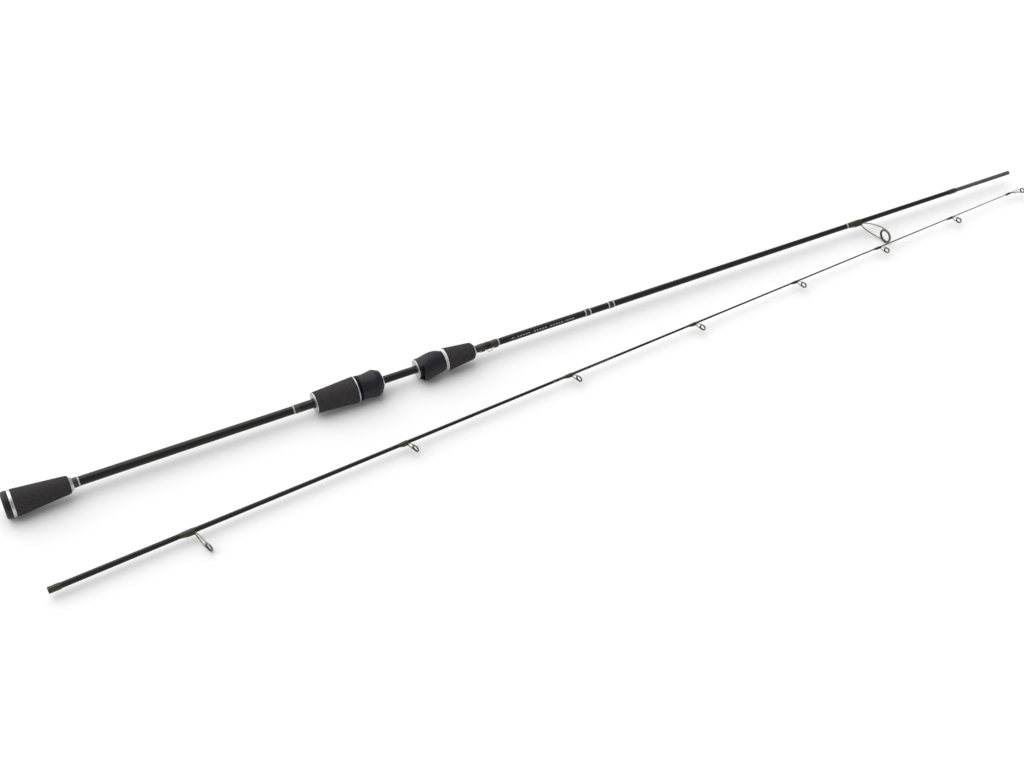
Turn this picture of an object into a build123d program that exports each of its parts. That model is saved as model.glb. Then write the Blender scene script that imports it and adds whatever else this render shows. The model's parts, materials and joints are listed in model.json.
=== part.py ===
"""Two-piece spinning rod lying open: a butt section with a split reel seat beside a tip section.

Millimetres, +Z up, floor at z = 0. +X runs along the butt section from its cap to its spigot.
Every sketch is drawn in a section's own plane: its x is the station along the rod from that
section's rear end, and its y is the height from the rod's axis towards the line guides.
"""

from build123d import *

import math
import os

os.makedirs("parts", exist_ok=True)

# How the two sections lie
CENTRE_X = 513.0  # middle of the whole layout, moved to the origin
CENTRE_Y = -49.1
DROOP = 11.1  # the guides point sideways and this far below level, so two rings rest on the floor
BUTT_AXIS_Z = 12.0
TIP_START_X = 10.0
TIP_START_Y = -96.0
TIP_HEADING = 4.09  # the tip section closes on the butt section by this angle

# Blanks
BUTT_TAPER = ((0.0, 4.1), (957.0, 2.13))  # station and outer radius
TIP_TAPER = ((0.0, 2.45), (330.0, 1.52), (645.0, 0.82), (1001.0, 0.36))
BLANK_WALL = 0.75
BLANK_START = 5.4
SPIGOT_START = 957.0
SPIGOT_END = 1026.0
SPIGOT_RADIUS = 1.95
SPIGOT_BORE = 1.15
SPIGOT_CHAMFER = 0.4
SOCKET_RADIUS = 2.0
SOCKET_DEPTH = 70.0
TIP_BORE_START = 1.5
TIP_BORE_END = 0.3
TIP_BORE_STOP = 640.0

# Fits
GLUE = 0.01  # gap of a piece bonded on a blank
RUNNING = 0.08  # radial gap of the hood and nut on the thread barrel
WRAP = 0.3  # thread and varnish stand this far proud of the blank
TRIM = 0.36

# Butt grip
CAP_RADIUS = 11.6
CAP_END = 5.3
CAP_ROUND = 1.4
CAP_RECESS_RADIUS = 7.6
CAP_RECESS = 1.2
CAP_RING_END = 8.0
GRIP_RADIUS = 11.75
GRIP_FRONT_RADIUS = 7.9
GRIP_END = 53.0
GRIP_ROUND = 3.4
CHECK_REAR_RADIUS = 6.4
CHECK_FRONT_RADIUS = 4.7
CHECK_LENGTH = 2.7
BUTT_WRAP_END = 59.5

# Reel seat, rear half
SEAT_WRAP_START = 244.8
SEAT_WRAP_STEP = 249.4
SEAT_WRAP_END = 261.6
SEAT_LIP_END = 262.8
SEAT_LIP_RADIUS = 4.4
SEAT_CHECK_END = 263.9
SEAT_CHECK_RADIUS = 9.3
SEAT_GRIP_REAR_RADIUS = 9.7
SEAT_GRIP_END = 300.6
SEAT_GRIP_FRONT_RADIUS = 11.6
SEAT_RING_END = 301.6
SEAT_RING_RADIUS = 11.75
ARBOR_RADIUS = 5.5
REAR_HOOD_END = 324.8
REAR_HOOD_RADIUS = 11.2
REAR_HOOD_WAIST = 10.85
REAR_HOOD_FLARE = 12.0
REAR_HOOD_MOUTH = 9.4
REAR_GROOVE = 305.5
REAR_WAIST = 308.5
REAR_FLARE = 319.5
POCKET_SPREAD = 116.0  # each pocket covers this much of a turn on the guide side
POCKET_OVERRUN = 1.0  # and is cut this far past the hood's end face
REAR_POCKET = (309.5, 7.7, 10.1, 10.1)  # closed end, inner radius, outer radius there and at the mouth
REAR_RING_END = 326.6
REAR_RING_RADIUS = 5.0

# Reel seat, front half, shown fully open
COLLAR_START = 358.0
COLLAR_RADIUS = 8.5
COLLAR_BORE = 3.65
HOOD_START = 359.0
HOOD_END = 383.9
HOOD_SECTIONS = (  # station, radius and offset towards the guides
    (HOOD_START, 9.0, 0.0),
    (365.5, 11.05, 1.65),
    (377.0, 10.5, -0.3),
    (381.2, 9.7, -0.15),
    (HOOD_END, 8.6, 0.0),
)
FRONT_POCKET = (375.0, 8.4, 9.5, 12.2)
BARREL_START = 359.6
BARREL_END = 398.0
BARREL_RADIUS = 6.2
BARREL_BORE = 4.6
NUT_START = 384.0
NUT_RING_END = 386.3
NUT_RING_REAR_RADIUS = 9.0
NUT_RING_FRONT_RADIUS = 10.05
NUT_INSERT_RADIUS = 8.0
FOREGRIP_END = 413.4
FOREGRIP_RADIUS = 10.4
FOREGRIP_FRONT_RADIUS = 7.9
FOREGRIP_ROUND = 3.2
FOREGRIP_CLEARANCE_RADIUS = 6.6
FOREGRIP_CLEARANCE_END = 410.4
FOREGRIP_LIP_BORE = 4.2
FOREGRIP_CHECK_END = 415.0
FOREGRIP_CHECK_REAR_RADIUS = 5.8
FOREGRIP_CHECK_FRONT_RADIUS = 4.9
FOREGRIP_CHECK_BORE = 3.75

# Hook keeper and its windings
KEEPER_WIRE = 0.42
KEEPER_FOOT_START = 419.0
KEEPER_LOOP_START = 425.0
KEEPER_LOOP_END = 430.4
KEEPER_FOOT_END = 436.0
KEEPER_RISE = 2.8
KEEPER_BEND = 0.9
KEEPER_WRAP_START = 417.0
KEEPER_MIDDLE_START = 424.7
KEEPER_MIDDLE_END = 430.7
KEEPER_WRAP_END = 437.6

# Thread bands: start and end stations
BANDS = ((527.7, 531.5), (552.2, 556.2))
TRIM_WIDTH = 1.2
BUTT_FERRULE_WRAP = (947.0, 956.9)
TIP_FERRULE_WRAP = (0.0, 10.5)
TIP_FERRULE_RADIUS = 2.78

# Line guides: winding start and end, ring centre ahead of the winding, ring height, hoop
# diameter, forward lean of the ring, wire radius
STRIPPER = (822.0, 838.5, 12.3, 25.2, 14.3, 5.0, 0.6)
TIP_GUIDES = (
    (105.0, 118.0, 3.7, 19.1, 8.7, 20.0, 0.5),
    (298.5, 307.5, 2.9, 8.5, 7.4, 20.0, 0.44),
    (462.0, 471.0, 2.8, 7.0, 6.7, 20.0, 0.42),
    (596.5, 605.5, 2.6, 7.0, 6.5, 20.0, 0.42),
    (716.0, 724.0, 2.6, 6.6, 6.4, 20.0, 0.4),
    (817.5, 827.5, 2.6, 6.4, 6.3, 20.0, 0.4),
    (912.5, 922.0, 2.6, 6.3, 6.3, 20.0, 0.4),
)
FOOT_INSET = 1.5  # the foot starts this far under its winding
FOOT_REACH = 0.4  # and shows this much in front of it
FOOT_WIDTH = 4.6  # in wire radii
FOOT_THICKNESS = 2.3
LEG_ANGLE = 72.0  # where each leg meets the hoop, from the side nearest the rod
LEG_BULGE = 0.09  # sideways bow of a leg, as a share of its length
HOOP_WIDTH = 2.4  # in wire radii
HOOP_THICKNESS = (0.35, 0.03)  # fixed part, and share of the hoop diameter
INSERT_THICKNESS = (0.3, 0.07)
INSERT_SWELL = 0.62  # half width of the insert, as a share of its thickness
INSERT_LAND = 0.5  # straight length of the ring's hole
HOOP_CORNER = 0.4  # corner radius, as a share of the hoop's thickness
WRAP_TAPER = 2.0  # longest tapered end of a winding over a foot
HOOP_ALLOWANCE = 0.2  # cut away again when the insert's seat is bored

# Tip-top
TIP_TOP_WRAP = (994.0, 1001.0)
TIP_TOP_TUBE = (995.5, 1003.0)
TIP_TOP_TUBE_RADIUS = 0.75
TIP_TOP_WRAP_RADIUS = 1.05
TIP_TOP_RING = (1015.6, 2.7, 5.4, 12.0)  # station, height, hoop diameter, lean
TIP_TOP_WIRE = 0.3
TIP_TOP_HOOP_WIDTH = 0.9
TIP_TOP_SPREAD = 55.0
TIP_TOP_BOW = 1.15  # the brace passes this share of the ring's height halfway along

# Alignment dot on the back of the tip section's ferrule winding
DOT_STATION = 6.0
DOT_RADIUS = 1.1
DOT_THICKNESS = 0.35
DOT_GAP = 0.06
DOT_TURN = 3.71  # the dot's axis is turned this far from square to the tip section


def section_plane(x, y, z, heading):
    """A section's drawing plane: x along the rod, y towards its guides."""
    turn = math.radians(heading)
    drop = math.radians(DROOP)
    along = Vector(math.cos(turn), math.sin(turn), 0)
    level = Vector(math.sin(turn), -math.cos(turn), 0)
    guides = level * math.cos(drop) - Vector(0, 0, math.sin(drop))
    return Plane(origin=(x - CENTRE_X, y - CENTRE_Y, z), x_dir=along, z_dir=along.cross(guides))


def rod_axis(plane):
    return Axis(plane.origin, plane.x_dir)


def radius_at(taper, station):
    """Outer radius of a blank at a station, straight between the stations given."""
    for (rear, rear_radius), (front, front_radius) in zip(taper, taper[1:]):
        if station <= front:
            share = (station - rear) / (front - rear)
            return rear_radius + share * (front_radius - rear_radius)
    return taper[-1][1]


def bore_points(taper, start, end):
    """The inner edge of a piece bonded on a blank, from its front back to its rear."""
    front = (end, radius_at(taper, end) + GLUE)
    rear = (start, radius_at(taper, start) + GLUE)
    return front, rear


def turned(plane, points):
    """A solid of revolution about the rod's axis from a closed outline."""
    with BuildPart() as piece:
        with BuildSketch(plane):
            with BuildLine():
                Polyline(*points, close=True)
            make_face()
        revolve(axis=rod_axis(plane))
    return piece.part


def sleeve(plane, taper, outer):
    """A turned sleeve bonded on a blank, from its outer outline, rear to front."""
    return turned(plane, (*outer, *bore_points(taper, outer[0][0], outer[-1][0])))


def foam_grip(rear, shoulder, nose, bore):
    """A turned grip: a straight taper to its shoulder, then a rounded nose."""
    slope = Vector(*shoulder) - Vector(*rear)
    with BuildPart() as grip:
        with BuildSketch(BUTT):
            with BuildLine():
                Line(rear, shoulder)
                TangentArc(shoulder, nose, tangent=slope)
                Polyline(nose, *bore, rear)
            make_face()
        revolve(axis=rod_axis(BUTT))
    return grip.part


def pocket(sizes, open_end):
    """The curved slot in a hood that takes one end of a reel foot."""
    closed_end, inner, closed_outer, open_outer = sizes
    start = BUTT.rotated((-POCKET_SPREAD / 2, 0, 0))
    with BuildPart() as slot:
        with BuildSketch(start):
            with BuildLine():
                Polyline(
                    (closed_end, inner),
                    (open_end, inner),
                    (open_end, open_outer),
                    (closed_end, closed_outer),
                    close=True,
                )
            make_face()
        revolve(axis=rod_axis(BUTT), revolution_arc=POCKET_SPREAD)
    return slot.part


def winding(plane, taper, start, end, proud):
    """A thread winding of even thickness with its edges eased."""
    ease = proud / 2
    rear = radius_at(taper, start) + proud
    front = radius_at(taper, end) + proud
    outer = ((start, rear - ease), (start + ease, rear), (end - ease, front), (end, front - ease))
    return sleeve(plane, taper, outer)


def offset_winding(plane, taper, start, end, cover, foot):
    """A winding over a foot: a round sleeve set off towards the foot, with tapered ends."""
    shift = cover / 2
    radius = radius_at(taper, start) + WRAP + shift
    end_radius = radius - shift / 2
    ease = min(WRAP_TAPER, (end - start) / 4)
    with BuildPart() as piece:
        with BuildSketch(plane):
            with BuildLine():
                Polyline(
                    (start, shift),
                    (start, shift + end_radius),
                    (start + ease, shift + radius),
                    (end - ease, shift + radius),
                    (end, shift + end_radius),
                    (end, shift),
                    close=True,
                )
            make_face()
        revolve(axis=Axis(plane.from_local_coords((0, shift, 0)), plane.x_dir))
        with BuildSketch(plane):
            with BuildLine():
                Polyline((start, 0), (end, 0), *bore_points(taper, start, end), close=True)
            make_face()
        revolve(axis=rod_axis(plane), mode=Mode.SUBTRACT)
        add(foot, mode=Mode.SUBTRACT)
    return piece.part


def save(part, name):
    part.label = name
    export_step(part, f"parts/{name}.step")


def hoop_sizes(hoop_diameter):
    """Hoop thickness, then the ring insert's outer and inner radius."""
    thickness = HOOP_THICKNESS[0] + HOOP_THICKNESS[1] * hoop_diameter
    insert_thickness = INSERT_THICKNESS[0] + INSERT_THICKNESS[1] * hoop_diameter
    insert_outer = hoop_diameter / 2 - thickness
    return thickness, insert_outer, insert_outer - insert_thickness


def ring_plane(plane, station, height, lean):
    """A plane through a ring's centre: x along the ring's own axis, y away from the rod."""
    lean = math.radians(lean)
    centre = plane.from_local_coords((station, height, 0))
    tilted = plane.from_local_coords((station + math.cos(lean), height - math.sin(lean), 0))
    return Plane(origin=centre, x_dir=tilted - centre, z_dir=plane.z_dir)


def ring_insert(ring, hoop_diameter):
    """A ring insert with a rounded hole and a short straight land in its middle."""
    thickness, outer, inner = hoop_sizes(hoop_diameter)
    half_width = (outer - inner) * INSERT_SWELL + INSERT_LAND / 2
    half_land = INSERT_LAND / 2
    bend = math.sin(math.radians(45))
    bend_x = half_land + (half_width - half_land) * bend
    bend_y = outer - (outer - inner) * bend
    with BuildPart() as insert:
        with BuildSketch(ring):
            with BuildLine():
                Polyline((-half_width, outer), (half_width, outer))
                ThreePointArc((half_width, outer), (bend_x, bend_y), (half_land, inner))
                Polyline((half_land, inner), (-half_land, inner))
                ThreePointArc((-half_land, inner), (-bend_x, bend_y), (-half_width, outer))
            make_face()
        revolve(axis=Axis(ring.origin, ring.x_dir))
    return insert.part


def hoop_point(ring, radius, angle):
    """A point on the hoop, at an angle from the side nearest the rod."""
    angle = math.radians(angle)
    return ring.from_local_coords((0, -radius * math.cos(angle), radius * math.sin(angle)))


def bowed_wire(start, middle, end, wire):
    """A round wire on an arc through three points."""
    with BuildPart() as leg:
        with BuildLine() as path:
            ThreePointArc(start, middle, end)
        with BuildSketch(Plane(origin=path.line @ 0, z_dir=path.line % 0)):
            Circle(wire)
        sweep()
    return leg.part


def guide_hoop(ring, hoop_diameter, width):
    """The frame's hoop, a rounded band that reaches a little inside the insert's outer radius."""
    thickness, outer, inner = hoop_sizes(hoop_diameter)
    blank_thickness = thickness + HOOP_ALLOWANCE
    with BuildPart() as hoop:
        with BuildSketch(ring):
            with Locations((0, outer - HOOP_ALLOWANCE + blank_thickness / 2)):
                RectangleRounded(width, blank_thickness, thickness * HOOP_CORNER)
        revolve(axis=Axis(ring.origin, ring.x_dir))
    return hoop.part


def insert_space(ring, hoop_diameter):
    """The room the insert needs, to cut from wires that reach into it."""
    thickness, outer, inner = hoop_sizes(hoop_diameter)
    depth = hoop_diameter / 2
    with BuildPart() as space:
        with BuildSketch(Plane(origin=ring.origin, z_dir=ring.x_dir)):
            Circle(outer)
        extrude(amount=depth, both=True)
    return space.part


def guide_foot(plane, taper, start, end, wire):
    """The flat foot of a guide, lying on the blank, with a ramp at its rear."""
    width = wire * FOOT_WIDTH
    thickness = wire * FOOT_THICKNESS
    base = radius_at(taper, start) + GLUE
    with BuildPart() as foot:
        with BuildSketch(plane.offset(-width / 2)):
            with BuildLine():
                Polyline(
                    (start, base),
                    (start + thickness, base + thickness),
                    (end, base + thickness),
                    (end, base),
                    close=True,
                )
            make_face()
        extrude(amount=width)
    return foot.part


def line_guide(plane, taper, sizes, number):
    """One single-foot guide: its frame, its ring and the winding that holds its foot."""
    wrap_start, wrap_end, reach, height, hoop_diameter, lean, wire = sizes
    thickness, outer, inner = hoop_sizes(hoop_diameter)
    ring = ring_plane(plane, wrap_end + reach, height, lean)
    foot_end = wrap_end + FOOT_REACH
    foot = guide_foot(plane, taper, wrap_start + FOOT_INSET, foot_end, wire)
    foot_height = radius_at(taper, wrap_start) + GLUE + wire * FOOT_THICKNESS / 2
    with BuildPart() as frame:
        add(foot)
        add(guide_hoop(ring, hoop_diameter, wire * HOOP_WIDTH))
        for side in (-1, 1):
            start = plane.from_local_coords((foot_end - wire, foot_height, side * wire))
            end = hoop_point(ring, outer + thickness / 2, side * LEG_ANGLE)
            middle = (start + end) / 2 + plane.z_dir * side * (end - start).length * LEG_BULGE
            add(bowed_wire(start, middle, end, wire))
        add(insert_space(ring, hoop_diameter), mode=Mode.SUBTRACT)
    save(frame.part, f"guide_{number}_frame")
    save(ring_insert(ring, hoop_diameter), f"guide_{number}_ring")
    cover = wire * FOOT_THICKNESS
    wrap = offset_winding(plane, taper, wrap_start, wrap_end, cover, frame.part)
    save(wrap, f"guide_{number}_wrap")


BUTT = section_plane(0.0, 0.0, BUTT_AXIS_Z, 0.0)
first_ring_height, first_hoop_diameter = TIP_GUIDES[0][3:5]
TIP_AXIS_Z = first_ring_height * math.sin(math.radians(DROOP)) + first_hoop_diameter / 2
TIP = section_plane(TIP_START_X, TIP_START_Y, TIP_AXIS_Z, TIP_HEADING)

# Butt blank: a tapered tube with its front end turned down to a spigot
butt_blank = turned(
    BUTT,
    (
        (BLANK_START, radius_at(BUTT_TAPER, BLANK_START)),
        (SPIGOT_START, radius_at(BUTT_TAPER, SPIGOT_START)),
        (SPIGOT_START, SPIGOT_RADIUS),
        (SPIGOT_END - SPIGOT_CHAMFER, SPIGOT_RADIUS),
        (SPIGOT_END, SPIGOT_RADIUS - SPIGOT_CHAMFER),
        (SPIGOT_END, SPIGOT_BORE),
        (SPIGOT_START, SPIGOT_BORE),
        (BLANK_START, radius_at(BUTT_TAPER, BLANK_START) - BLANK_WALL),
    ),
)
save(butt_blank, "butt_blank")

# Butt cap: a moulded disc with a shallow recess in its end face
with BuildPart() as butt_cap:
    with BuildSketch(BUTT):
        with BuildLine():
            Polyline((CAP_END, 0), (CAP_RECESS, 0), (CAP_RECESS, CAP_RECESS_RADIUS - CAP_RECESS))
            Line((CAP_RECESS, CAP_RECESS_RADIUS - CAP_RECESS), (0, CAP_RECESS_RADIUS))
            Line((0, CAP_RECESS_RADIUS), (0, CAP_RADIUS - CAP_ROUND))
            RadiusArc((0, CAP_RADIUS - CAP_ROUND), (CAP_ROUND, CAP_RADIUS), CAP_ROUND)
            Polyline((CAP_ROUND, CAP_RADIUS), (CAP_END, CAP_RADIUS), (CAP_END, 0))
        make_face()
    revolve(axis=rod_axis(BUTT))
save(butt_cap.part, "butt_cap")

cap_ring_outer = (
    (CAP_END + GLUE, CAP_RADIUS),
    (CAP_RING_END - TRIM, GRIP_RADIUS),
    (CAP_RING_END, CAP_RADIUS),
)
save(sleeve(BUTT, BUTT_TAPER, cap_ring_outer), "butt_cap_ring")

butt_grip = foam_grip(
    (CAP_RING_END, CAP_RADIUS),
    (GRIP_END - GRIP_ROUND, GRIP_FRONT_RADIUS),
    (GRIP_END, CHECK_REAR_RADIUS),
    bore_points(BUTT_TAPER, CAP_RING_END, GRIP_END),
)
save(butt_grip, "butt_grip")

check_end = GRIP_END + CHECK_LENGTH
check_outer = ((GRIP_END, CHECK_REAR_RADIUS), (check_end, CHECK_FRONT_RADIUS))
save(sleeve(BUTT, BUTT_TAPER, check_outer), "butt_grip_check")
save(winding(BUTT, BUTT_TAPER, check_end, BUTT_WRAP_END, WRAP), "butt_grip_wrap")

# Silver thread rings that edge the windings, one group of separate rings
trim_starts = [BUTT_WRAP_END, SEAT_WRAP_START - TRIM_WIDTH, KEEPER_WRAP_END, STRIPPER[0] - TRIM_WIDTH]
for band_start, band_end in BANDS:
    trim_starts.append(band_start - TRIM_WIDTH)
    trim_starts.append(band_end)
trims = [winding(BUTT, BUTT_TAPER, start, start + TRIM_WIDTH, TRIM) for start in trim_starts]
save(Compound(children=trims), "silver_thread_trims")

bands = [winding(BUTT, BUTT_TAPER, start, end, WRAP) for start, end in BANDS]
save(Compound(children=bands), "thread_bands")

# Rear half of the reel seat: winding, silver check, foam grip, ring, hood, ring
seat_wrap_radius = radius_at(BUTT_TAPER, SEAT_WRAP_STEP) + WRAP
seat_wrap_outer = (
    (SEAT_WRAP_START, seat_wrap_radius - WRAP / 2),
    (SEAT_WRAP_START + WRAP, seat_wrap_radius),
    (SEAT_WRAP_END, seat_wrap_radius),
    (SEAT_WRAP_END, SEAT_LIP_RADIUS),
    (SEAT_LIP_END, SEAT_LIP_RADIUS),
)
save(sleeve(BUTT, BUTT_TAPER, seat_wrap_outer), "seat_rear_wrap")

seat_check_outer = ((SEAT_LIP_END, SEAT_CHECK_RADIUS), (SEAT_CHECK_END, SEAT_CHECK_RADIUS))
save(sleeve(BUTT, BUTT_TAPER, seat_check_outer), "seat_grip_check")

arbor_outer = ((SEAT_CHECK_END + GLUE, ARBOR_RADIUS), (REAR_HOOD_END - GLUE, ARBOR_RADIUS))
save(sleeve(BUTT, BUTT_TAPER, arbor_outer), "rear_seat_arbor")

seat_bore = ARBOR_RADIUS + GLUE
seat_grip = turned(
    BUTT,
    (
        (SEAT_CHECK_END, seat_bore),
        (SEAT_CHECK_END, SEAT_GRIP_REAR_RADIUS - WRAP),
        (SEAT_CHECK_END + WRAP, SEAT_GRIP_REAR_RADIUS),
        (SEAT_GRIP_END, SEAT_GRIP_FRONT_RADIUS),
        (SEAT_GRIP_END, seat_bore),
    ),
)
save(seat_grip, "seat_grip")

seat_grip_ring = turned(
    BUTT,
    (
        (SEAT_GRIP_END, seat_bore),
        (SEAT_GRIP_END, SEAT_RING_RADIUS),
        (SEAT_RING_END, SEAT_RING_RADIUS),
        (SEAT_RING_END, seat_bore),
    ),
)
save(seat_grip_ring, "seat_grip_ring")

with BuildPart() as rear_hood:
    with BuildSketch(BUTT):
        with BuildLine():
            Polyline(
                (REAR_HOOD_END, REAR_HOOD_MOUTH),
                (REAR_HOOD_END, seat_bore),
                (SEAT_RING_END, seat_bore),
                (SEAT_RING_END, REAR_HOOD_RADIUS),
                (REAR_GROOVE, REAR_HOOD_RADIUS),
                (REAR_GROOVE, REAR_HOOD_WAIST),
                (REAR_WAIST, REAR_HOOD_WAIST),
            )
            Spline(
                (REAR_WAIST, REAR_HOOD_WAIST),
                (REAR_FLARE, REAR_HOOD_FLARE),
                tangents=((1, 0), (1, 0)),
            )
            Line((REAR_FLARE, REAR_HOOD_FLARE), (REAR_HOOD_END, REAR_HOOD_MOUTH))
        make_face()
    revolve(axis=rod_axis(BUTT))
    add(pocket(REAR_POCKET, REAR_HOOD_END + POCKET_OVERRUN), mode=Mode.SUBTRACT)
save(rear_hood.part, "rear_hood")

rear_ring_outer = ((REAR_HOOD_END, REAR_RING_RADIUS), (REAR_RING_END, REAR_RING_RADIUS))
save(sleeve(BUTT, BUTT_TAPER, rear_ring_outer), "rear_hood_ring")

# Front half of the reel seat: arbor and thread barrel on the blank
front_arbor_outer = ((BARREL_START, BARREL_BORE), (BARREL_END, BARREL_BORE))
save(sleeve(BUTT, BUTT_TAPER, front_arbor_outer), "front_seat_arbor")

thread_barrel = turned(
    BUTT,
    (
        (BARREL_START, BARREL_BORE + GLUE),
        (BARREL_START, BARREL_RADIUS),
        (BARREL_END, BARREL_RADIUS),
        (BARREL_END, BARREL_BORE + GLUE),
    ),
)
save(thread_barrel, "thread_barrel")

# Sliding hood: round sections that swell towards the guides, bored for the barrel
hood_bore = BARREL_RADIUS + RUNNING
rear_of_hood = BUTT.from_local_coords((HOOD_START, 0, 0))
with BuildPart() as front_hood:
    for station, radius, offset in HOOD_SECTIONS:
        centre = BUTT.from_local_coords((station, offset, 0))
        with BuildSketch(Plane(origin=centre, x_dir=BUTT.y_dir, z_dir=BUTT.x_dir)):
            Circle(radius)
    loft()
    with BuildSketch(Plane(origin=rear_of_hood, x_dir=BUTT.y_dir, z_dir=BUTT.x_dir)):
        Circle(hood_bore)
    extrude(amount=HOOD_END - HOOD_START, mode=Mode.SUBTRACT)
    add(pocket(FRONT_POCKET, HOOD_START - POCKET_OVERRUN), mode=Mode.SUBTRACT)
save(front_hood.part, "front_hood")

front_hood_collar = turned(
    BUTT,
    (
        (COLLAR_START, COLLAR_BORE),
        (COLLAR_START, COLLAR_RADIUS),
        (HOOD_START, COLLAR_RADIUS),
        (HOOD_START, COLLAR_BORE),
    ),
)
save(front_hood_collar, "front_hood_collar")

# Lock nut: a threaded insert, its knurled ring, the foam foregrip and the foregrip's check
nut_insert = turned(
    BUTT,
    (
        (NUT_RING_END, hood_bore),
        (NUT_RING_END, NUT_INSERT_RADIUS),
        (BARREL_END, NUT_INSERT_RADIUS),
        (BARREL_END, hood_bore),
    ),
)
save(nut_insert, "lock_nut")

nut_ring = turned(
    BUTT,
    (
        (NUT_START, hood_bore),
        (NUT_START, NUT_RING_REAR_RADIUS),
        (NUT_RING_END, NUT_RING_FRONT_RADIUS),
        (NUT_RING_END, hood_bore),
    ),
)
save(nut_ring, "nut_ring")

foregrip = foam_grip(
    (NUT_RING_END, FOREGRIP_RADIUS),
    (FOREGRIP_END - FOREGRIP_ROUND, FOREGRIP_FRONT_RADIUS),
    (FOREGRIP_END, FOREGRIP_CHECK_REAR_RADIUS),
    (
        (FOREGRIP_END, FOREGRIP_LIP_BORE),
        (FOREGRIP_CLEARANCE_END, FOREGRIP_LIP_BORE),
        (FOREGRIP_CLEARANCE_END, FOREGRIP_CLEARANCE_RADIUS),
        (BARREL_END, FOREGRIP_CLEARANCE_RADIUS),
        (BARREL_END, NUT_INSERT_RADIUS + GLUE),
        (NUT_RING_END, NUT_INSERT_RADIUS + GLUE),
    ),
)
save(foregrip, "foregrip")

foregrip_check = turned(
    BUTT,
    (
        (FOREGRIP_END, FOREGRIP_CHECK_BORE),
        (FOREGRIP_END, FOREGRIP_CHECK_REAR_RADIUS),
        (FOREGRIP_CHECK_END, FOREGRIP_CHECK_FRONT_RADIUS),
        (FOREGRIP_CHECK_END, FOREGRIP_CHECK_BORE),
    ),
)
save(foregrip_check, "foregrip_check")

# Hook keeper: one bent wire with both feet under windings
keeper_base = radius_at(BUTT_TAPER, KEEPER_FOOT_START) + GLUE + KEEPER_WIRE
keeper_top = keeper_base + KEEPER_RISE
with BuildPart() as hook_keeper:
    with BuildLine(BUTT) as keeper_path:
        FilletPolyline(
            (KEEPER_FOOT_START, keeper_base),
            (KEEPER_LOOP_START, keeper_base),
            (KEEPER_LOOP_START + KEEPER_BEND, keeper_top),
            (KEEPER_LOOP_END - KEEPER_BEND, keeper_top),
            (KEEPER_LOOP_END, keeper_base),
            (KEEPER_FOOT_END, keeper_base),
            radius=KEEPER_BEND,
        )
    with BuildSketch(Plane(origin=keeper_path.line @ 0, z_dir=keeper_path.line % 0)):
        Circle(KEEPER_WIRE)
    sweep()
save(hook_keeper.part, "hook_keeper")

keeper_cover = KEEPER_WIRE * 2
for name, start, end in (
    ("keeper_rear_wrap", KEEPER_WRAP_START, KEEPER_MIDDLE_START),
    ("keeper_front_wrap", KEEPER_MIDDLE_END, KEEPER_WRAP_END),
):
    wrap = offset_winding(BUTT, BUTT_TAPER, start, end, keeper_cover, hook_keeper.part)
    save(wrap, name)
middle_wrap = winding(BUTT, BUTT_TAPER, KEEPER_MIDDLE_START, KEEPER_MIDDLE_END, WRAP)
save(middle_wrap - hook_keeper.part, "keeper_middle_wrap")

save(winding(BUTT, BUTT_TAPER, *BUTT_FERRULE_WRAP, WRAP), "butt_ferrule_wrap")

# Tip section: the blank is a tapered tube, open at its rear as the ferrule socket
tip_end = TIP_TAPER[-1][0]
tip_blank = turned(
    TIP,
    (
        (0, SOCKET_RADIUS),
        *TIP_TAPER,
        (tip_end, 0),
        (TIP_BORE_STOP, 0),
        (TIP_BORE_STOP, TIP_BORE_END),
        (SOCKET_DEPTH, TIP_BORE_START),
        (SOCKET_DEPTH, SOCKET_RADIUS),
    ),
)
save(tip_blank, "tip_blank")

ferrule_start, ferrule_end = TIP_FERRULE_WRAP
ferrule_outer = (
    (ferrule_start, TIP_FERRULE_RADIUS - WRAP / 2),
    (ferrule_start + WRAP, TIP_FERRULE_RADIUS),
    (ferrule_end - WRAP, TIP_FERRULE_RADIUS),
    (ferrule_end, TIP_FERRULE_RADIUS - WRAP / 2),
)
save(sleeve(TIP, TIP_TAPER, ferrule_outer), "tip_ferrule_wrap")

line_guide(BUTT, BUTT_TAPER, STRIPPER, 1)
for number, sizes in enumerate(TIP_GUIDES, start=2):
    line_guide(TIP, TIP_TAPER, sizes, number)

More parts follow.
